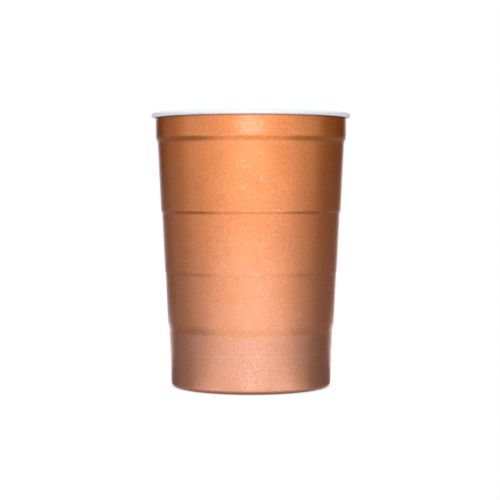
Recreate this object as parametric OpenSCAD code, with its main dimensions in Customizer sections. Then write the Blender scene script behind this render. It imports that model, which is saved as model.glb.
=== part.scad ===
// Double-wall stainless steel cup. A stepped and coated outer shell, a plain liner whose lip is
// rolled over the shell's flange, a pressed base plate, and the seal and weld that close the two
// joints. Millimetres, +Z up, origin on the cup's axis at table level.

/* [Cup] */
// Height from the table to the top of the rolled rim
cup_height = 123; // [110:0.5:150]
// Outside diameter of the straight collar under the rim
collar_d = 85.8; // [80:0.1:96]
// Outside diameter of the foot, where the line of the wall meets the table
foot_d = 71.9; // [60:0.1:76]

/* [Outer shell] */
// Sheet thickness of the shell
shell_t = 0.5; // [0.3:0.05:0.8]
// Height of the collar, from the underside of the rim down to the first step
collar_h = 9.2; // [6:0.1:14]
// Height of the band that stands on the table
foot_band_h = 25.4; // [18:0.1:32]
// Height of the band above it
lower_band_h = 22.1; // [16:0.1:28]
// Height of the band below the tallest one
middle_band_h = 25.8; // [16:0.1:28]
// Taper of the foot band, in degrees a side
foot_band_taper = 1.95; // [0.5:0.05:4]
// Inside radius of the bend between the wall and the foot
foot_bend = 1.5; // [0.5:0.1:2]
// Width of the foot's turned-in edge under the base plate
foot_lap = 3.2; // [2:0.1:5]

/* [Steps in the shell] */
// Inward drop of the step under the collar
collar_step_drop = 0.85; // [0.5:0.05:1.5]
// Height of the step under the collar
collar_step_run = 1.7; // [1.2:0.1:4]
// Inward drop of the step under the tallest band
upper_step_drop = 0.48; // [0.2:0.02:1]
// Height of the step under the tallest band
upper_step_run = 1; // [0.8:0.1:3]
// Inward drop of the step under the middle band
middle_step_drop = 0.3; // [0.1:0.02:1]
// Height of the step under the middle band
middle_step_run = 1.6; // [1.2:0.1:3]
// Inward drop of the step above the foot band
foot_step_drop = 0.65; // [0.2:0.05:1.2]
// Height of the step above the foot band
foot_step_run = 3.4; // [2:0.1:5]
// Inside radius of a step's crisp bend
crisp_bend = 1.2; // [0.5:0.1:2.5]
// Inside radius of a step's eased bend
eased_bend = 3; // [2:0.1:6]
// Inside radius of the bend at the top of the collar's step
collar_step_bend = 2.5; // [1:0.1:4]
// Inside radius of the bend at the bottom of the collar's step
collar_step_foot_bend = 5; // [2:0.1:8]
// Inside radius of the soft bend above the foot band
soft_bend = 12; // [4:0.5:20]

/* [Liner] */
// Sheet thickness of the liner
liner_t = 0.4; // [0.3:0.05:0.8]
// Air gap between the liner's wall and the shell
air_gap = 3.3; // [2:0.1:5]
// Clearance of the liner's neck in the collar
neck_clearance = 0.1; // [0.05:0.05:0.2]
// Slope of the shoulder between the neck and the wall, in degrees from the axis
shoulder_angle = 18; // [12:0.5:30]
// Gap between the shoulder and the lower edge of the step under the collar
shoulder_gap = 1; // [0.5:0.1:2]
// Inside radius of the shoulder's two bends
shoulder_bend = 6; // [3:0.5:12]
// Inside radius of the bend between the wall and the floor
floor_bend = 5; // [2:0.25:8]
// Width of the flat ring around the raised disc of the floor, up to the line of the wall
floor_disc_margin = 10; // [8:0.5:16]
// Height of the raised disc
floor_disc_rise = 0.6; // [0.3:0.1:1.5]
// Width of the slope around the raised disc
floor_disc_slope = 2; // [1:0.1:3]
// Inside radius of the bends around the raised disc
floor_disc_bend = 1.2; // [0.5:0.1:2.5]
// Gap between the floor and the base plate
floor_gap = 2.5; // [1.5:0.1:6]

/* [Rolled rim] */
// Reach of the shell's flange beyond the collar
flange_reach = 1.15; // [0.8:0.05:1.6]
// Inside radius of the bend under the flange
flange_bend = 0.4; // [0.2:0.05:0.6]
// Space above and below the flange inside the roll
roll_gap = 0.4; // [0.25:0.05:0.6]
// Space between the flange's edge and the roll
roll_side_gap = 0.35; // [0.25:0.05:0.6]
// Inside radius of the roll's bends
roll_bend = 0.6; // [0.3:0.05:0.6]
// Gap between the roll's tucked-in edge and the collar
hem_gap = 0.35; // [0.2:0.05:0.6]
// Clearance between the sealing ring's round edge and the roll
seal_clearance = 0.05; // [0.02:0.01:0.1]

/* [Base plate] */
// Sheet thickness of the base plate
base_t = 0.5; // [0.3:0.05:0.8]
// Height of the plate's underside above the table
base_recess = 3.0; // [2:0.1:5]
// Clearance between the plate's edge and the bend of the foot
base_clearance = 0.1; // [0.05:0.05:0.3]
// Outward draft of the plate's riser
riser_draft = 0.6; // [0.2:0.1:1.5]
// Inside radius of the plate's bends
base_bend = 0.6; // [0.3:0.1:1]
// Width of the flat ring around the stiffening disc
base_disc_margin = 10; // [4:0.5:16]
// Depth of the stiffening disc
base_disc_depth = 0.6; // [0.3:0.1:1]
// Width of the slope around the stiffening disc
base_disc_slope = 1.5; // [1:0.1:3]
// Leg of the weld between the foot's edge and the plate
weld_leg = 0.4; // [0.2:0.05:0.45]
// Bare strip of the plate between the weld and the riser
weld_margin = 0.3; // [0.2:0.1:1]

/* [Hidden] */
// Largest distance between a bend and the chords that draw it
bend_tolerance = 0.008;
// Share of a straight stretch that the bends at its ends may use up
bend_share = 0.96;
// Facets of a full turn in the preview
$fn = 128;

// Heights of the rim
roll_h = shell_t + 2 * roll_gap;
rim_h = roll_h + 2 * liner_t;
rim_under_z = cup_height - rim_h;
roll_top_z = cup_height - liner_t;
roll_bottom_z = roll_top_z - roll_h;
flange_z = roll_bottom_z + roll_gap;

// Heights of the shell's bands and steps, from the table up
lower_band_z = foot_band_h + foot_step_run;
middle_step_z = lower_band_z + lower_band_h;
middle_band_z = middle_step_z + middle_step_run;
upper_step_z = middle_band_z + middle_band_h;
upper_band_z = upper_step_z + upper_step_run;
collar_z = rim_under_z - collar_h;
collar_step_z = collar_z - collar_step_run;

// Radii of the shell's outer face, with one taper shared by the three bands between collar and foot
collar_r = collar_d / 2;
foot_r = foot_d / 2;
foot_band_top_r = foot_r + foot_band_h * tan(foot_band_taper);
lower_band_r = foot_band_top_r + foot_step_drop;
upper_band_top_r = collar_r - collar_step_drop;
upper_band_h = collar_step_z - upper_band_z;
band_spread = upper_band_top_r - lower_band_r - middle_step_drop - upper_step_drop;
band_slope = band_spread / (lower_band_h + middle_band_h + upper_band_h);
middle_step_r = lower_band_r + lower_band_h * band_slope;
middle_band_r = middle_step_r + middle_step_drop;
upper_step_r = middle_band_r + middle_band_h * band_slope;
upper_band_r = upper_step_r + upper_step_drop;
flange_r = collar_r + flange_reach;

// Base plate inside the foot
base_edge_r = foot_r - shell_t - foot_bend - base_clearance;
land_r = base_edge_r - foot_lap;
riser_angle = atan2(base_recess - shell_t, riser_draft);
riser_bend_w = (base_bend + base_t) * tan(riser_angle / 2);
riser_r = land_r - weld_leg - weld_margin - riser_bend_w;
base_panel_r = riser_r - riser_draft;
base_disc_r = base_panel_r - base_disc_margin - base_disc_slope;
base_top_z = base_recess + base_t;

// Liner inside the shell
neck_r = collar_r - shell_t - neck_clearance;
shoulder_slope = tan(shoulder_angle);
shoulder_lead = (neck_r - upper_band_top_r + shell_t + shoulder_gap) / shoulder_slope;
neck_z = max(collar_z, collar_step_z + shoulder_lead);
wall_top_r = upper_band_top_r - shell_t - air_gap;
shoulder_drop = neck_r - wall_top_r - (neck_z - collar_step_z) * band_slope;
shoulder_z = neck_z - shoulder_drop / (shoulder_slope - band_slope);
shoulder_r = neck_r - (neck_z - shoulder_z) * shoulder_slope;
floor_z = base_top_z + floor_gap;
floor_r = foot_r - shell_t - air_gap;
floor_disc_r = floor_r - floor_disc_margin - floor_disc_slope;
roll_r = flange_r + roll_side_gap;
hem_r = collar_r + hem_gap;

// A sheet's profile is a path of [radius, height, inside bend radius]. The path runs along one face
// of the sheet, and the other face lies to its left.
function point(v) = [v[0], v[1]];
function heading(a, b) = (point(b) - point(a)) / norm(point(b) - point(a));
function left_of(d) = [-d[1], d[0]];
function turned(d, angle) = [
    d[0] * cos(angle) - d[1] * sin(angle),
    d[0] * sin(angle) + d[1] * cos(angle)
];
function turn_angle(u, v) = atan2(cross(u, v), u * v);
function backwards(list) = [for (i = [len(list) - 1 : -1 : 0]) list[i]];

// Corner i of a path moved to the face at distance t on its left
function face_corner(path, i, t) = let (
    u = heading(path[max(i - 1, 0)], path[max(i, 1)]),
    v = heading(path[min(i, len(path) - 2)], path[min(i + 1, len(path) - 1)])
) point(path[i]) + (left_of(u) + left_of(v)) * t / (1 + u * v);

// Points of the bend at b between a and c, which takes up no more than room of each straight
function bend(a, b, c, radius, room) = let (
    u = heading(a, b),
    v = heading(b, c),
    angle = turn_angle(u, v),
    side = sign(angle),
    r = min(radius, room / tan(abs(angle) / 2)),
    centre = b - u * r * tan(abs(angle) / 2) + left_of(u) * side * r,
    chord_angle = 2 * acos(1 - min(bend_tolerance / r, 0.5)),
    steps = max(2, ceil(abs(angle) / chord_angle))
) [for (k = [0 : steps]) centre + turned(-left_of(u) * side * r, angle * k / steps)];

// One face of a sheet of thickness t: side 0 is the path itself and side 1 the face on its left.
// A straight stretch is shared by the bends at its two ends. The first and the last have only one.
function face(path, t, side) = let (
    last = len(path) - 1,
    corners = [for (i = [0 : last]) face_corner(path, i, side * t)]
) [
    corners[0],
    for (i = [1 : last - 1]) let (
        a = corners[i - 1],
        b = corners[i],
        c = corners[i + 1],
        outside = (turn_angle(heading(a, b), heading(b, c)) > 0) == (side == 0),
        room_before = bend_share * norm(b - a) / (i == 1 ? 1 : 2),
        room_after = bend_share * norm(c - b) / (i == last - 1 ? 1 : 2)
    ) each bend(a, b, c, path[i][2] + (outside ? t : 0), min(room_before, room_after)),
    corners[last]
];

module spun_sheet(path, t) {
    rotate_extrude() polygon(concat(face(path, t, 0), backwards(face(path, t, 1))));
}

// Stepped outer wall, from the foot's turned-in edge up to the flange that the rim is rolled over
module outer_shell() {
    color([0.80, 0.44, 0.24]) spun_sheet([
        [land_r, 0, 0],
        [foot_r, 0, foot_bend],
        [foot_band_top_r, foot_band_h, crisp_bend],
        [lower_band_r, lower_band_z, soft_bend],
        [middle_step_r, middle_step_z, eased_bend],
        [middle_band_r, middle_band_z, eased_bend],
        [upper_step_r, upper_step_z, eased_bend],
        [upper_band_r, upper_band_z, crisp_bend],
        [upper_band_top_r, collar_step_z, collar_step_foot_bend],
        [collar_r, collar_z, collar_step_bend],
        [collar_r, flange_z, flange_bend],
        [flange_r, flange_z, 0]
    ], shell_t);
}

// Drawn inner cup, with its lip rolled out, down and in around the shell's flange
module inner_liner() {
    color([0.78, 0.79, 0.81]) spun_sheet([
        [0, floor_z + floor_disc_rise, 0],
        [floor_disc_r, floor_z + floor_disc_rise, floor_disc_bend],
        [floor_disc_r + floor_disc_slope, floor_z, floor_disc_bend],
        [floor_r, floor_z, floor_bend],
        [shoulder_r, shoulder_z, shoulder_bend],
        [neck_r, neck_z, shoulder_bend],
        [neck_r, roll_top_z, roll_bend],
        [roll_r, roll_top_z, roll_bend],
        [roll_r, roll_bottom_z, roll_bend],
        [hem_r, roll_bottom_z, 0]
    ], liner_t);
}

// Pressed disc that lies on the foot's turned-in edge and closes the bottom of the shell
module base_plate() {
    color([0.72, 0.73, 0.75]) spun_sheet([
        [0, base_recess - base_disc_depth, 0],
        [base_disc_r, base_recess - base_disc_depth, base_bend],
        [base_disc_r + base_disc_slope, base_recess, base_bend],
        [base_panel_r, base_recess, base_bend],
        [riser_r, shell_t, base_bend],
        [base_edge_r, shell_t, 0]
    ], base_t);
}

// Sealing ring that fills the roll around the edge of the shell's flange
module rim_seal() {
    inner_r = collar_r + max(hem_gap, flange_bend);
    end_r = roll_h / 2;
    end_x = roll_r - seal_clearance - end_r;
    color([0.86, 0.86, 0.84]) rotate_extrude() difference() {
        union() {
            translate([inner_r, roll_bottom_z]) square([end_x - inner_r, roll_h]);
            translate([end_x, roll_bottom_z + end_r]) circle(end_r);
        }
        translate([0, roll_bottom_z]) square([inner_r, roll_h]);
        translate([0, flange_z]) square([flange_r, shell_t]);
    }
}

// Fillet weld between the inner edge of the foot and the underside of the base plate
module base_weld() {
    color([0.60, 0.60, 0.62]) rotate_extrude() polygon([
        [land_r, shell_t],
        [land_r, shell_t - weld_leg],
        [land_r - weld_leg, shell_t]
    ]);
}

outer_shell();
inner_liner();
base_plate();
rim_seal();
base_weld();
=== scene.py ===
"""Dresses the insulated steel cup: spun sheet pieces, a copper-coloured coat, bare steel and soft light."""

import math

import bpy
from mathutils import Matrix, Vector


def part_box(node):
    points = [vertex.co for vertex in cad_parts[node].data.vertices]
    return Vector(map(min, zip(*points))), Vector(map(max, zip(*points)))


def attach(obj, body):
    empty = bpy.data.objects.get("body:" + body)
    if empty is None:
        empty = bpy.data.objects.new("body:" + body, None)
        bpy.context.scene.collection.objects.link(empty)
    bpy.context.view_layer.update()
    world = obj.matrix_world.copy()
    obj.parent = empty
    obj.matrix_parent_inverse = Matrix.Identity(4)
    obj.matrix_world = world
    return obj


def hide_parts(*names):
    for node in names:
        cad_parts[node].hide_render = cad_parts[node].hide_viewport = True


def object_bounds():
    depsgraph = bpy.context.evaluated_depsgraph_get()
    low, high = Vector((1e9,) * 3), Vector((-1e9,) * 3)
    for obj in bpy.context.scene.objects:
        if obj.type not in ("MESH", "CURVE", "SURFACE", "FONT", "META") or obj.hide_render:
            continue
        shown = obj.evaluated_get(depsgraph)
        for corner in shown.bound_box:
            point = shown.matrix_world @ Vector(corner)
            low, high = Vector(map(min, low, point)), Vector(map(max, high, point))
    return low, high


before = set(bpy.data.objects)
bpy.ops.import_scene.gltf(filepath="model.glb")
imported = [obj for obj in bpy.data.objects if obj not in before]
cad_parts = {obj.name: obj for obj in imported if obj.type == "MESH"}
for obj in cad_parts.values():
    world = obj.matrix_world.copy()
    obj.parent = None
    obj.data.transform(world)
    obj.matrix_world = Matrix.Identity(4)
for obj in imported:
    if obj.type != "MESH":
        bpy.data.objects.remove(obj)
cad_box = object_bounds()

MM = 0.001
CUP_HEIGHT = cad_box[1].z - cad_box[0].z
RIM_RADIUS = (cad_box[1].x - cad_box[0].x) / 2

# Outlines of the turned pieces

# Points of an outline closer than this are one point
MERGE_GAP = 0.02 * MM
# A turn sharper than this is a cut edge, not a bend
SHARP_TURN = math.radians(50)
# Finest step of a redrawn bend
BEND_STEP = math.radians(6)
# Longest step along a straight run, and the short step that ends one
RUN_STEP = 4 * MM
RUN_END = 0.3 * MM
# Steps around the axis
TURN_STEPS = 192


def read_outline(name):
    """The (radius, height) points of a turned CAD node, in order, and whether they close."""
    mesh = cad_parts[name].data
    points = []
    spots = {}
    ids = []
    for vertex in mesh.vertices:
        spot = (round(math.hypot(vertex.co.x, vertex.co.y), 6), round(vertex.co.z, 6))
        if spot not in spots:
            near = [i for i, point in enumerate(points) if math.dist(point, spot) < MERGE_GAP]
            if not near:
                points.append(spot)
            spots[spot] = near[0] if near else len(points) - 1
        ids.append(spots[spot])
    joined = [set() for _ in points]
    for edge in mesh.edges:
        a, b = (ids[v] for v in edge.vertices)
        if a != b:
            joined[a].add(b)
            joined[b].add(a)
    walk = [min(range(len(points)), key=lambda i: points[i])]
    while True:
        here = walk[-1]
        ahead = [i for i in joined[here] if i not in walk]
        if not ahead:
            break
        walk.append(min(ahead, key=lambda i: math.dist(points[i], points[here])))
    return [points[i] for i in walk], walk[0] in joined[walk[-1]]


def turn_at(before, here, after):
    """The signed turn of an outline at a point, with a sharp corner counted as no bend."""
    first = math.atan2(here[1] - before[1], here[0] - before[0])
    second = math.atan2(after[1] - here[1], after[0] - here[0])
    turn = (second - first + math.pi) % (2 * math.pi) - math.pi
    return turn if abs(turn) < SHARP_TURN else 0


def stretch(start, end, first_turn, last_turn):
    """Points from start up to end: an arc where both ends turn the same way, else a straight run."""
    length = math.dist(start, end)
    along = ((end[0] - start[0]) / length, (end[1] - start[1]) / length)
    side = (along[1], -along[0])
    if first_turn * last_turn > 0:
        small = min(abs(first_turn), abs(last_turn))
        large = max(abs(first_turn), abs(last_turn))
        sweep = math.copysign(min(2 * small, large), first_turn)
        steps = max(1, math.ceil(abs(sweep) / BEND_STEP))
        radius = length / 2 / math.sin(sweep / 2)
        for i in range(steps):
            angle = sweep * (i / steps - 0.5)
            forward = length / 2 + radius * math.sin(angle)
            bulge = radius * (math.cos(angle) - math.cos(sweep / 2))
            across = start[0] + along[0] * forward + side[0] * bulge
            up = start[1] + along[1] * forward + side[1] * bulge
            yield (across, up)
        return
    marks = [0]
    if length > 3 * RUN_END:
        steps = math.ceil((length - 2 * RUN_END) / RUN_STEP)
        marks += [RUN_END + (length - 2 * RUN_END) * i / steps for i in range(steps + 1)]
    for mark in marks:
        yield (start[0] + along[0] * mark, start[1] + along[1] * mark)


def fine_outline(name):
    """A node's outline with its bends redrawn in finer steps and its straight runs divided."""
    points, closed = read_outline(name)
    if not closed:
        points = [(0, points[0][1])] + points + [(0, points[-1][1])]
    count = len(points)
    turns = [turn_at(points[i - 1], points[i], points[(i + 1) % count]) for i in range(count)]
    if not closed:
        turns[0] = turns[-1] = 0
    fine = []
    for i in range(count if closed else count - 1):
        j = (i + 1) % count
        fine += stretch(points[i], points[j], turns[i], turns[j])
    if not closed:
        fine.append(points[-1])
    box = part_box(name)
    widest = min(max(radius for radius, height in points), box[1].x, box[1].y)
    lowest = min(height for radius, height in points)
    highest = max(height for radius, height in points)
    return [(min(radius, widest), min(max(height, lowest), highest)) for radius, height in fine], closed


def lathe(name, node, material):
    """The piece that stands for a turned CAD node: its outline spun about the axis, seam at the back."""
    outline, closed = fine_outline(node)
    lengths = [0]
    for i in range(len(outline)):
        lengths.append(lengths[-1] + math.dist(outline[i], outline[(i + 1) % len(outline)]))
    vertices = []
    rings = []
    for radius, height in outline:
        first = len(vertices)
        if radius == 0:
            vertices.append((0, 0, height))
            rings.append([first] * TURN_STEPS)
            continue
        for step in range(TURN_STEPS):
            angle = math.pi / 2 + 2 * math.pi * step / TURN_STEPS
            vertices.append((radius * math.cos(angle), radius * math.sin(angle), height))
        rings.append(list(range(first, len(vertices))))
    faces = []
    corners = []
    total = lengths[-1]
    for i in range(len(rings) if closed else len(rings) - 1):
        low, high = rings[i], rings[(i + 1) % len(rings)]
        v0, v1 = lengths[i] / total, lengths[i + 1] / total
        for step in range(TURN_STEPS):
            after = (step + 1) % TURN_STEPS
            u0, u1 = step / TURN_STEPS, (step + 1) / TURN_STEPS
            face = [(low[step], u0, v0), (low[after], u1, v0), (high[after], u1, v1), (high[step], u0, v1)]
            if low[step] == low[after]:
                del face[1]
            if high[step] == high[after]:
                del face[2]
            faces.append([corner[0] for corner in face])
            corners += [corner[1:] for corner in face]
    mesh = bpy.data.meshes.new(name)
    mesh.from_pydata(vertices, [], faces)
    layer = mesh.uv_layers.new(name="Around")
    for loop, corner in zip(layer.data, corners):
        loop.uv = corner
    if volume(mesh) < 0:
        mesh.flip_normals()
    mesh.shade_smooth()
    mesh.set_sharp_from_angle(angle=SHARP_TURN)
    mesh.materials.append(material)
    piece = bpy.data.objects.new(name, mesh)
    bpy.context.scene.collection.objects.link(piece)
    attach(piece, "root")
    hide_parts(node)
    return piece


def volume(mesh):
    """The signed volume of a closed mesh, negative where its faces look inwards."""
    total = 0
    for face in mesh.polygons:
        total += mesh.vertices[face.vertices[0]].co.dot(face.normal) * face.area
    return total / 3


# Shader nodes

def add(tree, kind, inputs=None, **settings):
    """A new shader node with its settings and inputs; an input given as a socket is linked."""
    made = tree.nodes.new(kind)
    for key, value in settings.items():
        setattr(made, key, value)
    for key, value in (inputs or {}).items():
        if isinstance(value, bpy.types.NodeSocket):
            tree.links.new(value, made.inputs[key])
        else:
            made.inputs[key].default_value = value
    return made


def math_node(tree, operation, first, second=0.0, third=0.0):
    """The result socket of a Math node."""
    return add(tree, "ShaderNodeMath", {0: first, 1: second, 2: third}, operation=operation).outputs[0]


def ramp(tree, value, low, high, from_value=0.0, to_value=1.0, kind="SMOOTHSTEP"):
    """The value taken from one range to another, smoothly unless said, and held beyond its ends."""
    node = add(
        tree,
        "ShaderNodeMapRange",
        {"Value": value, "From Min": low, "From Max": high, "To Min": from_value, "To Max": to_value},
        interpolation_type=kind,
    )
    return node.outputs["Result"]


def noise(tree, coordinates, size, detail=2.0, roughness=0.5):
    """A noise value whose blobs are about as wide as the size in metres."""
    node = add(
        tree,
        "ShaderNodeTexNoise",
        {"Vector": coordinates, "Scale": 1 / size, "Detail": detail, "Roughness": roughness},
    )
    return node.outputs["Fac"]


def blend(tree, factor, first, second, kind="MIX"):
    """The mix of two colours."""
    node = add(tree, "ShaderNodeMix", data_type="RGBA", blend_type=kind)
    for socket, value in ((node.inputs[0], factor), (node.inputs[6], first), (node.inputs[7], second)):
        if isinstance(value, bpy.types.NodeSocket):
            tree.links.new(value, socket)
        else:
            socket.default_value = value
    return node.outputs[2]


def new_material(name):
    """An empty node material and its tree."""
    made = bpy.data.materials.new(name)
    made.use_nodes = True
    made.node_tree.nodes.clear()
    return made, made.node_tree


def finish_material(tree, shader):
    """Links a shader to the material's output."""
    add(tree, "ShaderNodeOutputMaterial", {"Surface": shader})


def height_and_radius(tree, place):
    """The height of a place, its distance from the axis, and both as one vector."""
    axes = add(tree, "ShaderNodeSeparateXYZ", {0: place}).outputs
    flat = add(tree, "ShaderNodeCombineXYZ", {0: axes[0], 1: axes[1]}).outputs[0]
    radius = add(tree, "ShaderNodeVectorMath", {0: flat}, operation="LENGTH").outputs["Value"]
    section = add(tree, "ShaderNodeCombineXYZ", {0: radius, 1: axes[2]}).outputs[0]
    return axes[2], radius, section


# Coat of the shell

# Painted reflection: the coat's colour turns paler towards the foot, standing in for the pale floor that
# the lower wall reflects
COPPER_TOP = (0.92, 0.25, 0.03, 1)
COPPER_FOOT_PAINTED_REFLECTION = (0.88, 0.33, 0.145, 1)
PALE_FROM = 112 * MM
PALE_TO = 10 * MM
# Painted reflection: below the lowest step the coat's colour is a little greyer and bluer, standing in for
# the cool floor that the foot band reflects
FOOT_BAND_PAINTED_REFLECTION = (0.88, 0.95, 1.12, 1)
FOOT_STEP = 29 * MM
EDGE_TINT = (1, 0.4, 0.4, 1)
GRAIN_LIGHT = (1.15, 1.32, 1.9, 1)
GRAIN_DARK = (0.83, 0.68, 0.26, 1)
GRAIN_SIZE = 0.58 * MM
# The grain shows less on the paler foot
FOOT_GRAIN = 0.6
MOTTLE_SIZE = 14 * MM
COPPER_RUBBED = (0.98, 0.64, 0.47, 1)
SPECK_BROWN = (0.30, 0.09, 0.03, 1)
# Painted shade: a dark line on the coat just under the rolled rim, where the rim's overhang shades the wall
UNDER_RIM_PAINTED_SHADE = (0.22, 0.05, 0.035, 1)
WORN_STEEL = (0.62, 0.55, 0.50, 1)
# Underside of the rolled rim: the liner's sheet below the seal
RIM_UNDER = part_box("rim_seal")[0].z - 0.4 * MM
# The collar flares a little towards the rim, as shading only
FLARE_FROM = 115.5 * MM
FLARE_RISE = 0.17 * MM
EDGE_REACH = 0.7 * MM
FOOT_RUB = 0.6 * MM
# Heights of hairline rings left by the forming
HAIRLINES = (109.1 * MM, 65.3 * MM, 16.3 * MM)
# Small marks on the front: across, up, tilt in degrees, length, width, in millimetres
PALE_NICKS = (
    (4.4, 104.4, 8, 1.8, 0.7),
    (-3.1, 101.2, 15, 4.4, 0.7),
    (-6.2, 101.1, 0, 1.1, 0.8),
    (-5.7, 99.6, 0, 1.0, 0.8),
    (1.4, 94.9, 20, 1.5, 0.8),
    (-3.4, 89.9, 3, 2.4, 0.8),
)
PALE_RUBS = ((-2.1, 98.6, -20, 5.0, 2.6), (4.5, 93.7, 80, 6.0, 3.4))
DARK_SPECKS = ((6.2, 108.6, 0, 0.9, 0.8), (-19.7, 25.6, 0, 1.0, 0.9))
MARK_DEPTH = 30 * MM
FRONT = -42 * MM


def step_edges():
    """Heights of the upper edges of the shell's inward steps, where hands and shelves rub."""
    points, closed = read_outline("outer_shell")
    edges = []
    for (r0, z0), (r1, z1) in zip(points, points[1:]):
        steep = abs(r1 - r0) > 0.12 * abs(z1 - z0)
        if steep and min(z0, z1) > 10 * MM and max(z0, z1) < RIM_UNDER - 3 * MM:
            edges.append(max(z0, z1))
    edges.sort()
    return [z for z, above in zip(edges, edges[1:] + [RIM_UNDER]) if above - z > 5 * MM]


def marks(tree, place, sizes, softness):
    """One mask for a set of small marks on the front of the wall."""
    total = 0.0
    for across, up, tilt, length, width in sizes:
        mapped = add(
            tree,
            "ShaderNodeMapping",
            {
                "Vector": place,
                "Location": (across * MM, FRONT, up * MM),
                "Rotation": (0, math.radians(-tilt), 0),
                "Scale": (length / 2 * MM, MARK_DEPTH, width / 2 * MM),
            },
            vector_type="TEXTURE",
        ).outputs[0]
        away = add(tree, "ShaderNodeVectorMath", {0: mapped}, operation="LENGTH").outputs["Value"]
        total = math_node(tree, "MAXIMUM", total, ramp(tree, away, 1 - softness, 1.0, 1.0, 0.0))
    return total


def bands(tree, height, heights, reach, strength):
    """One mask for narrow level bands around the wall."""
    total = 0.0
    for level in heights:
        away = math_node(tree, "ABSOLUTE", math_node(tree, "SUBTRACT", height, level))
        total = math_node(tree, "MAXIMUM", total, ramp(tree, away, 0.0, reach, strength, 0.0))
    return total


def shaken(tree, place, size, reach):
    """A place moved about by a fine noise, so that a mark's outline turns ragged."""
    wander = add(tree, "ShaderNodeTexNoise", {"Vector": place, "Scale": 1 / size, "Detail": 1.0})
    centred = {0: wander.outputs["Color"], 1: (0.5, 0.5, 0.5)}
    middle = add(tree, "ShaderNodeVectorMath", centred, operation="SUBTRACT").outputs[0]
    moved = {0: middle, 1: (reach, reach, reach), 2: place}
    return add(tree, "ShaderNodeVectorMath", moved, operation="MULTIPLY_ADD").outputs[0]


def coat_material():
    """Copper-coloured metallic powder coat with a fine grain, a few pale nicks and a rubbed foot, with
    painted shade under the rim and a painted pale reflection towards the foot.
    """
    made, tree = new_material("copper_coat")
    place = add(tree, "ShaderNodeTexCoord").outputs["Object"]
    height = height_and_radius(tree, place)[0]
    grain = noise(tree, place, GRAIN_SIZE, 2.0, 0.5)
    mottle = noise(tree, place, MOTTLE_SIZE, 2.0)
    tone = math_node(tree, "MULTIPLY_ADD", mottle, 0.2, math_node(tree, "MULTIPLY", grain, 0.8))
    # Painted reflection: paler colour towards the foot, standing in for the floor's reflection
    colour = blend(tree, ramp(tree, height, PALE_FROM, PALE_TO), COPPER_TOP, COPPER_FOOT_PAINTED_REFLECTION)
    # Painted reflection: greyer, bluer colour below the lowest step
    colour = blend(tree, ramp(tree, height, FOOT_STEP, FOOT_STEP - 8 * MM), colour, FOOT_BAND_PAINTED_REFLECTION, "MULTIPLY")
    grains = blend(tree, ramp(tree, tone, 0.3, 0.7), GRAIN_DARK, GRAIN_LIGHT)
    colour = blend(tree, ramp(tree, height, 0.0, PALE_FROM, FOOT_GRAIN, 1.0), colour, grains, "MULTIPLY")

    patchy = ramp(tree, noise(tree, place, 5 * MM, 3.0, 0.6), 0.5, 0.72)
    rubbed = math_node(tree, "MULTIPLY", bands(tree, height, step_edges(), EDGE_REACH, 0.3), patchy)
    rubbed = math_node(tree, "MAXIMUM", rubbed, bands(tree, height, HAIRLINES, 0.35 * MM, 0.18))
    ragged = shaken(tree, place, 0.6 * MM, 0.5 * MM)
    nicks = marks(tree, ragged, PALE_NICKS, 0.7)
    rubs = marks(tree, ragged, PALE_RUBS, 0.9)
    rubbed = math_node(tree, "MAXIMUM", rubbed, math_node(tree, "MULTIPLY", nicks, 0.6))
    rubbed = math_node(tree, "MAXIMUM", rubbed, math_node(tree, "MULTIPLY", rubs, 0.16))
    colour = blend(tree, rubbed, colour, COPPER_RUBBED)
    specks = math_node(tree, "MULTIPLY", marks(tree, ragged, DARK_SPECKS, 0.8), 0.6)
    colour = blend(tree, specks, colour, SPECK_BROWN)
    # Painted shade: the coat darkens in the last millimetre under the rolled rim
    shade = ramp(tree, height, RIM_UNDER - 0.9 * MM, RIM_UNDER - 0.1 * MM, 0.0, 0.8)
    colour = blend(tree, shade, colour, UNDER_RIM_PAINTED_SHADE)
    foot = math_node(tree, "MULTIPLY", ramp(tree, height, FOOT_RUB * 0.4, FOOT_RUB, 1.0, 0.0), patchy)
    colour = blend(tree, foot, colour, WORN_STEEL)

    flare = ramp(tree, height, FLARE_FROM, RIM_UNDER, kind="LINEAR")
    flare = math_node(tree, "MULTIPLY", flare, flare)
    flared = {"Height": flare, "Strength": 1.0, "Distance": FLARE_RISE}
    flare = add(tree, "ShaderNodeBump", flared).outputs["Normal"]
    grained = {"Height": grain, "Strength": 0.85, "Distance": 0.1 * MM, "Normal": flare}
    bump = add(tree, "ShaderNodeBump", grained).outputs["Normal"]
    shader = add(
        tree,
        "ShaderNodeBsdfPrincipled",
        {
            "Base Color": colour,
            "Metallic": 0.95,
            "Roughness": ramp(tree, tone, 0.3, 0.7, 0.46, 0.38),
            "Specular Tint": EDGE_TINT,
            "Normal": bump,
            "Coat Weight": 1.0,
            "Coat Roughness": 0.16,
            "Coat IOR": 1.75,
            "Coat Normal": bump,
        },
    )
    finish_material(tree, shader.outputs[0])
    return made


# Bare steel

# Painted reflection: the lip's pale bluish-white colour and low metal stand in for the bright room that the
# bare steel rim reflects
LIP_METAL = 0.15
LIP_PAINTED_REFLECTION = (0.92, 0.975, 1, 1)


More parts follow.
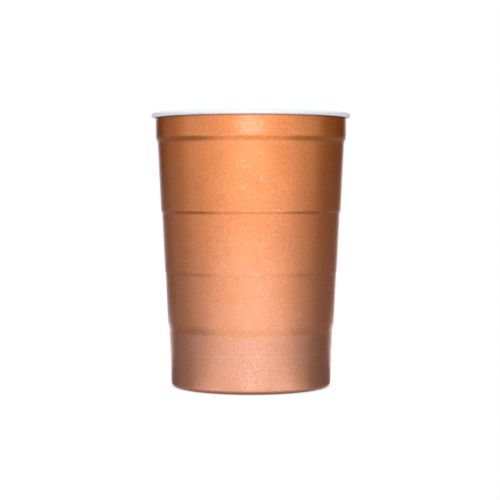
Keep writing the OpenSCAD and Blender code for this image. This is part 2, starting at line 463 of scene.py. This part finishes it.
def steel_material(name, colour, roughness, line_size, line_depth, painted_lip_from=None):
    """Spun steel: fine rings around the axis, uneven in places, with a pale bluish-white lip if asked, a
    painted reflection of the bright room.
    """
    made, tree = new_material(name)
    place = add(tree, "ShaderNodeTexCoord").outputs["Object"]
    height, radius, section = height_and_radius(tree, place)
    rings = noise(tree, section, line_size, 4.0, 0.65)
    patches = noise(tree, place, 18 * MM, 3.0)
    tone = math_node(tree, "MULTIPLY_ADD", rings, 0.6, math_node(tree, "MULTIPLY", patches, 0.4))
    dark = tuple(part * 0.88 for part in colour) + (1,)
    tint = blend(tree, ramp(tree, tone, 0.3, 0.7), dark, colour + (1,))
    smudge = ramp(tree, noise(tree, place, 9 * MM, 4.0, 0.6), 0.45, 0.75, 0.0, 0.08)
    gloss = math_node(tree, "ADD", ramp(tree, tone, 0.3, 0.7, roughness * 1.2, roughness * 0.85), smudge)
    depth = 0.2
    metal = 1.0
    # Painted reflection: from this height the lip turns pale bluish-white, less metallic and with fainter
    # rings
    if painted_lip_from is not None:
        painted_lip = ramp(tree, height, painted_lip_from, painted_lip_from + 3 * MM)
        tint = blend(tree, painted_lip, tint, LIP_PAINTED_REFLECTION)
        depth = ramp(tree, painted_lip, 0.0, 1.0, 0.2, 0.03, "LINEAR")
        metal = ramp(tree, painted_lip, 0.0, 1.0, 1.0, LIP_METAL, "LINEAR")
    bump = add(tree, "ShaderNodeBump", {"Height": rings, "Strength": depth, "Distance": line_depth})
    shader = add(
        tree,
        "ShaderNodeBsdfPrincipled",
        {"Base Color": tint, "Metallic": metal, "Roughness": gloss, "Normal": bump.outputs["Normal"]},
    )
    finish_material(tree, shader.outputs[0])
    return made


# Weld and seal

WELD_BEADS = 174


def weld_material():
    """A seam weld: scale-like ripples along the turn, with straw and blue heat tint."""
    made, tree = new_material("weld_steel")
    place = add(tree, "ShaderNodeTexCoord").outputs["Object"]
    axes = add(tree, "ShaderNodeSeparateXYZ", {0: place}).outputs
    turn = math_node(tree, "ARCTAN2", axes[1], axes[0])
    radius = height_and_radius(tree, place)[1]
    beads = math_node(tree, "MULTIPLY", turn, WELD_BEADS)
    bow = math_node(tree, "MULTIPLY_ADD", radius, 1 / (0.4 * MM), beads)
    ripple = math_node(tree, "MULTIPLY_ADD", math_node(tree, "SINE", bow), 0.5, 0.5)
    fleck = noise(tree, place, 0.5 * MM, 3.0, 0.6)
    drift = noise(tree, place, 7 * MM, 2.0)
    warm = blend(tree, ramp(tree, drift, 0.35, 0.6), (0.48, 0.47, 0.47, 1), (0.52, 0.40, 0.24, 1))
    tint = blend(tree, ramp(tree, drift, 0.58, 0.72), warm, (0.26, 0.30, 0.44, 1))
    colour = blend(tree, math_node(tree, "MULTIPLY", ripple, 0.35), tint, (0.60, 0.59, 0.57, 1))
    relief = math_node(tree, "MULTIPLY_ADD", fleck, 0.3, ripple)
    bump = add(tree, "ShaderNodeBump", {"Height": relief, "Strength": 0.5, "Distance": 0.08 * MM})
    shader = add(
        tree,
        "ShaderNodeBsdfPrincipled",
        {
            "Base Color": colour,
            "Metallic": 1.0,
            "Roughness": ramp(tree, fleck, 0.3, 0.7, 0.3, 0.46),
            "Normal": bump.outputs["Normal"],
        },
    )
    finish_material(tree, shader.outputs[0])
    return made


def seal_material():
    """A matt sealing compound, pale grey, with fine pits."""
    made, tree = new_material("seal_compound")
    place = add(tree, "ShaderNodeTexCoord").outputs["Object"]
    pits = noise(tree, place, 0.4 * MM, 3.0, 0.6)
    cloud = noise(tree, place, 6 * MM, 2.0)
    tone = math_node(tree, "MULTIPLY_ADD", pits, 0.5, math_node(tree, "MULTIPLY", cloud, 0.5))
    colour = blend(tree, ramp(tree, tone, 0.3, 0.7), (0.55, 0.54, 0.51, 1), (0.70, 0.69, 0.66, 1))
    bump = add(tree, "ShaderNodeBump", {"Height": pits, "Strength": 0.3, "Distance": 0.05 * MM})
    shader = add(
        tree,
        "ShaderNodeBsdfPrincipled",
        {
            "Base Color": colour,
            "Roughness": ramp(tree, tone, 0.3, 0.7, 0.85, 0.7),
            "Normal": bump.outputs["Normal"],
        },
    )
    finish_material(tree, shader.outputs[0])
    return made


# Pieces

# Height where the lip's painted reflection begins
LIP_PAINTED_FROM = 116 * MM

liner_steel = steel_material("liner_steel", (0.93, 0.97, 1.0), 0.3, 0.35 * MM, 0.02 * MM, LIP_PAINTED_FROM)
base_steel = steel_material("base_steel", (0.72, 0.73, 0.75), 0.34, 0.5 * MM, 0.03 * MM)

lathe("coated_shell", "outer_shell", coat_material())
lathe("spun_liner", "inner_liner", liner_steel)
lathe("pressed_base", "base_plate", base_steel)
lathe("seam_weld", "base_weld", weld_material())
lathe("sealing_ring", "rim_seal", seal_material())


# Stage

FLOOR_REACH = 5.0
FLOOR_DROP = 0.05 * MM
WHITE = (1, 1, 1, 1)
BLACK = (0, 0, 0, 1)
# Painted light: how brightly the white floor glows to the metal before, beside and behind the cup, and the
# painted shadow close under its foot
FLOOR_BEFORE = 0.9
FLOOR_BESIDE = 0.1
FLOOR_BEHIND = 0.75
FLOOR_UNDER_PAINTED_SHADOW = 0.3
# The painted pool of light behind the cup fades to this between these distances from the axis
FLOOR_FAR = 0.15
POOL_FROM = 150 * MM
POOL_TO = 400 * MM
# Where before and behind begin and are full, as the cosine of the turn from straight behind
BEFORE_SECTOR = (-0.45, -0.95)
BEHIND_SECTOR = (0.52, 0.84)
# Index of refraction of the floor's polish
FLOOR_SHEEN = 1.5
# The shadow shows on the floor out to this far from the axis
SHADOW_REACH = 37.5 * MM


def painted_floor_light(tree, place, distance):
    """Painted light: how bright the white floor glows to the metal, a painted pool before and behind the
    cup, painted dimness beside it and painted shadow under the foot.
    """
    axes = add(tree, "ShaderNodeSeparateXYZ", {0: place}).outputs
    toward = math_node(tree, "DIVIDE", axes[1], distance)
    before = ramp(tree, toward, *BEFORE_SECTOR, FLOOR_BESIDE, FLOOR_BEFORE)
    pool = ramp(tree, distance, POOL_FROM, POOL_TO, FLOOR_BEHIND, FLOOR_FAR)
    behind = math_node(tree, "MULTIPLY", ramp(tree, toward, *BEHIND_SECTOR), pool)
    around = math_node(tree, "MAXIMUM", before, behind)
    # Painted shadow: close under the foot the floor's glow drops to its under-foot value
    clear = ramp(tree, distance, RIM_RADIUS * 0.81, RIM_RADIUS * 0.88)
    under = math_node(tree, "SUBTRACT", 1.0, clear)
    return math_node(tree, "MULTIPLY_ADD", around, clear, math_node(tree, "MULTIPLY", under, FLOOR_UNDER_PAINTED_SHADOW))


def floor_material():
    """White acrylic: plain white with a soft shadow at the foot, partly real and partly painted; the metal
    shows its sheen and a painted glow.
    """
    made, tree = new_material("white_floor")
    ray = add(tree, "ShaderNodeLightPath").outputs
    place = add(tree, "ShaderNodeTexCoord").outputs["Object"]
    distance = add(tree, "ShaderNodeVectorMath", {0: place}, operation="LENGTH").outputs["Value"]
    lit = add(tree, "ShaderNodeBsdfDiffuse", {"Color": (0.85, 0.85, 0.86, 1)}).outputs[0]
    white = add(tree, "ShaderNodeEmission", {"Color": WHITE, "Strength": 1.0}).outputs[0]
    seen = math_node(tree, "MAXIMUM", ray["Is Camera Ray"], ray["Is Transmission Ray"])
    # Near the foot the white fades into the lit floor, so the real shadow shows; the fade also greys the
    # floor there where it is unshadowed, a painted shadow
    unshaded = ramp(tree, distance, RIM_RADIUS * 0.77, SHADOW_REACH, 0.55, 1.0)
    plain = math_node(tree, "MULTIPLY", seen, unshaded)
    floor = add(tree, "ShaderNodeMixShader", {0: plain, 1: lit, 2: white}).outputs[0]
    glow = painted_floor_light(tree, place, distance)
    glow = add(tree, "ShaderNodeEmission", {"Color": WHITE, "Strength": glow}).outputs[0]
    sheen = add(tree, "ShaderNodeBsdfGlossy", {"Color": WHITE, "Roughness": 0.12}).outputs[0]
    slant = add(tree, "ShaderNodeFresnel", {"IOR": FLOOR_SHEEN}).outputs[0]
    none = add(tree, "ShaderNodeEmission", {"Color": BLACK, "Strength": 0.0}).outputs[0]
    sheen = add(tree, "ShaderNodeMixShader", {0: slant, 1: none, 2: sheen}).outputs[0]
    shown = add(tree, "ShaderNodeAddShader", {0: glow, 1: sheen}).outputs[0]
    shader = add(tree, "ShaderNodeMixShader", {0: ray["Is Glossy Ray"], 1: floor, 2: shown}).outputs[0]
    finish_material(tree, shader)
    return made


def make_floor():
    """A wide plain floor just under the foot."""
    mesh = bpy.data.meshes.new("floor")
    reach = FLOOR_REACH
    corners = [(-reach, -reach, 0), (reach, -reach, 0), (reach, reach, 0), (-reach, reach, 0)]
    mesh.from_pydata(corners, [], [(0, 1, 2, 3)])
    mesh.materials.append(floor_material())
    floor = bpy.data.objects.new("floor", mesh)
    floor.location.z = cad_box[0].z - FLOOR_DROP
    bpy.context.scene.collection.objects.link(floor)


# Brightness of the studio's white surfaces: the side walls, the backdrop, the upper walls and the ceiling
LEFT_WALL = (0.24, 0.24, 0.24, 1)
RIGHT_WALL = (0.03, 0.03, 0.03, 1)
BACKDROP = WHITE
# Where the backdrop begins and is full, as the cosine of the turn from straight behind
BACKDROP_SECTOR = (0.9, 0.97)
HIGH_FRONT = (0.95, 0.95, 0.95, 1)
HIGH_BACK = (0.6, 0.6, 0.6, 1)
CEILING = WHITE


def make_world():
    """A pale ceiling and backdrop with dim walls; plain white where the camera looks past the cup."""
    world = bpy.data.worlds.new("studio")
    world.use_nodes = True
    tree = world.node_tree
    tree.nodes.clear()
    ray = add(tree, "ShaderNodeLightPath").outputs
    way = add(tree, "ShaderNodeTexCoord").outputs["Generated"]
    up, level, section = height_and_radius(tree, way)
    axes = add(tree, "ShaderNodeSeparateXYZ", {0: way}).outputs
    back = math_node(tree, "DIVIDE", axes[1], level)
    low = ramp(tree, up, 0.25, 0.35, 1.0, 0.0)
    behind = math_node(tree, "MULTIPLY", low, ramp(tree, back, *BACKDROP_SECTOR))
    past_front = ramp(tree, back, -0.59, -0.41)
    before_back = ramp(tree, back, 0.49, 0.66, 1.0, 0.0)
    beside = math_node(tree, "MULTIPLY", past_front, before_back)
    walls = blend(tree, ramp(tree, axes[0], -0.02, 0.02), LEFT_WALL, RIGHT_WALL)
    studio = blend(tree, math_node(tree, "MULTIPLY", low, beside), BLACK, walls)
    studio = blend(tree, behind, studio, BACKDROP)
    high = blend(tree, ramp(tree, back, -0.1, 0.1), HIGH_FRONT, HIGH_BACK)
    studio = blend(tree, ramp(tree, up, 0.25, 0.35), studio, high)
    studio = blend(tree, ramp(tree, up, 0.45, 0.55), studio, CEILING)
    seen = math_node(tree, "MAXIMUM", ray["Is Camera Ray"], ray["Is Transmission Ray"])
    colour = blend(tree, seen, studio, WHITE)
    surface = add(tree, "ShaderNodeBackground", {"Color": colour, "Strength": 1.0}).outputs[0]
    add(tree, "ShaderNodeOutputWorld", {"Surface": surface})
    bpy.context.scene.world = world


def soft_lamp(name, turn, distance, height, size, power, shape="RECTANGLE", colour=(1, 1, 1)):
    """A soft lamp at a turn in degrees from the camera's side, facing the middle of the cup."""
    data = bpy.data.lights.new(name, "AREA")
    data.shape = shape
    data.size, data.size_y = size
    data.energy = power
    data.color = colour
    lamp = bpy.data.objects.new(name, data)
    angle = math.radians(turn)
    lamp.location = (math.sin(angle) * distance, -math.cos(angle) * distance, height)
    aim = lamp.location - type(lamp.location)((0, 0, CUP_HEIGHT / 2))
    lamp.rotation_euler = aim.to_track_quat("Z", "Y").to_euler()
    lamp.visible_camera = False
    bpy.context.scene.collection.objects.link(lamp)


# A narrow lamp at the collar's height, over the camera
KEY_DISTANCE = 0.75
KEY_UP = 0.166
KEY_SIZE = (0.46, 0.04)
KEY_POWER = 0.84
KEY_COLOUR = (0.68, 0.82, 1)
# Alike soft panels on both sides of the camera, dimmer further round: turn in degrees and power
PANELS = ((25, 0.34), (50, 0.4), (75, 0.24))
PANEL_DISTANCE = 1.0
PANEL_SIZE = (0.42, 0.26)
PANEL_UP = 0.16


def make_lamps():
    """One narrow lamp at the collar's height and a row of soft white panels, the same on both sides."""
    soft_lamp("key", 0, KEY_DISTANCE, KEY_UP, KEY_SIZE, KEY_POWER, "ELLIPSE", KEY_COLOUR)
    for turn, power in PANELS:
        for side in (-1, 1):
            soft_lamp("panel_%d" % (side * turn), side * turn, PANEL_DISTANCE, PANEL_UP, PANEL_SIZE, power)


def make_camera():
    """The photograph's view: a long lens a little above the middle of the cup, tilted slightly down."""
    data = bpy.data.cameras.new("view")
    data.sensor_width = 36
    data.lens = 113.98
    camera = bpy.data.objects.new("view", data)
    camera.location = (-0.4 * MM, -716 * MM, 90 * MM)
    camera.rotation_euler = (math.radians(90 - 2.29), 0, 0)
    bpy.context.scene.collection.objects.link(camera)
    bpy.context.scene.camera = camera


make_floor()
make_world()
make_lamps()
make_camera()

bpy.context.scene.view_settings.view_transform = "Standard"
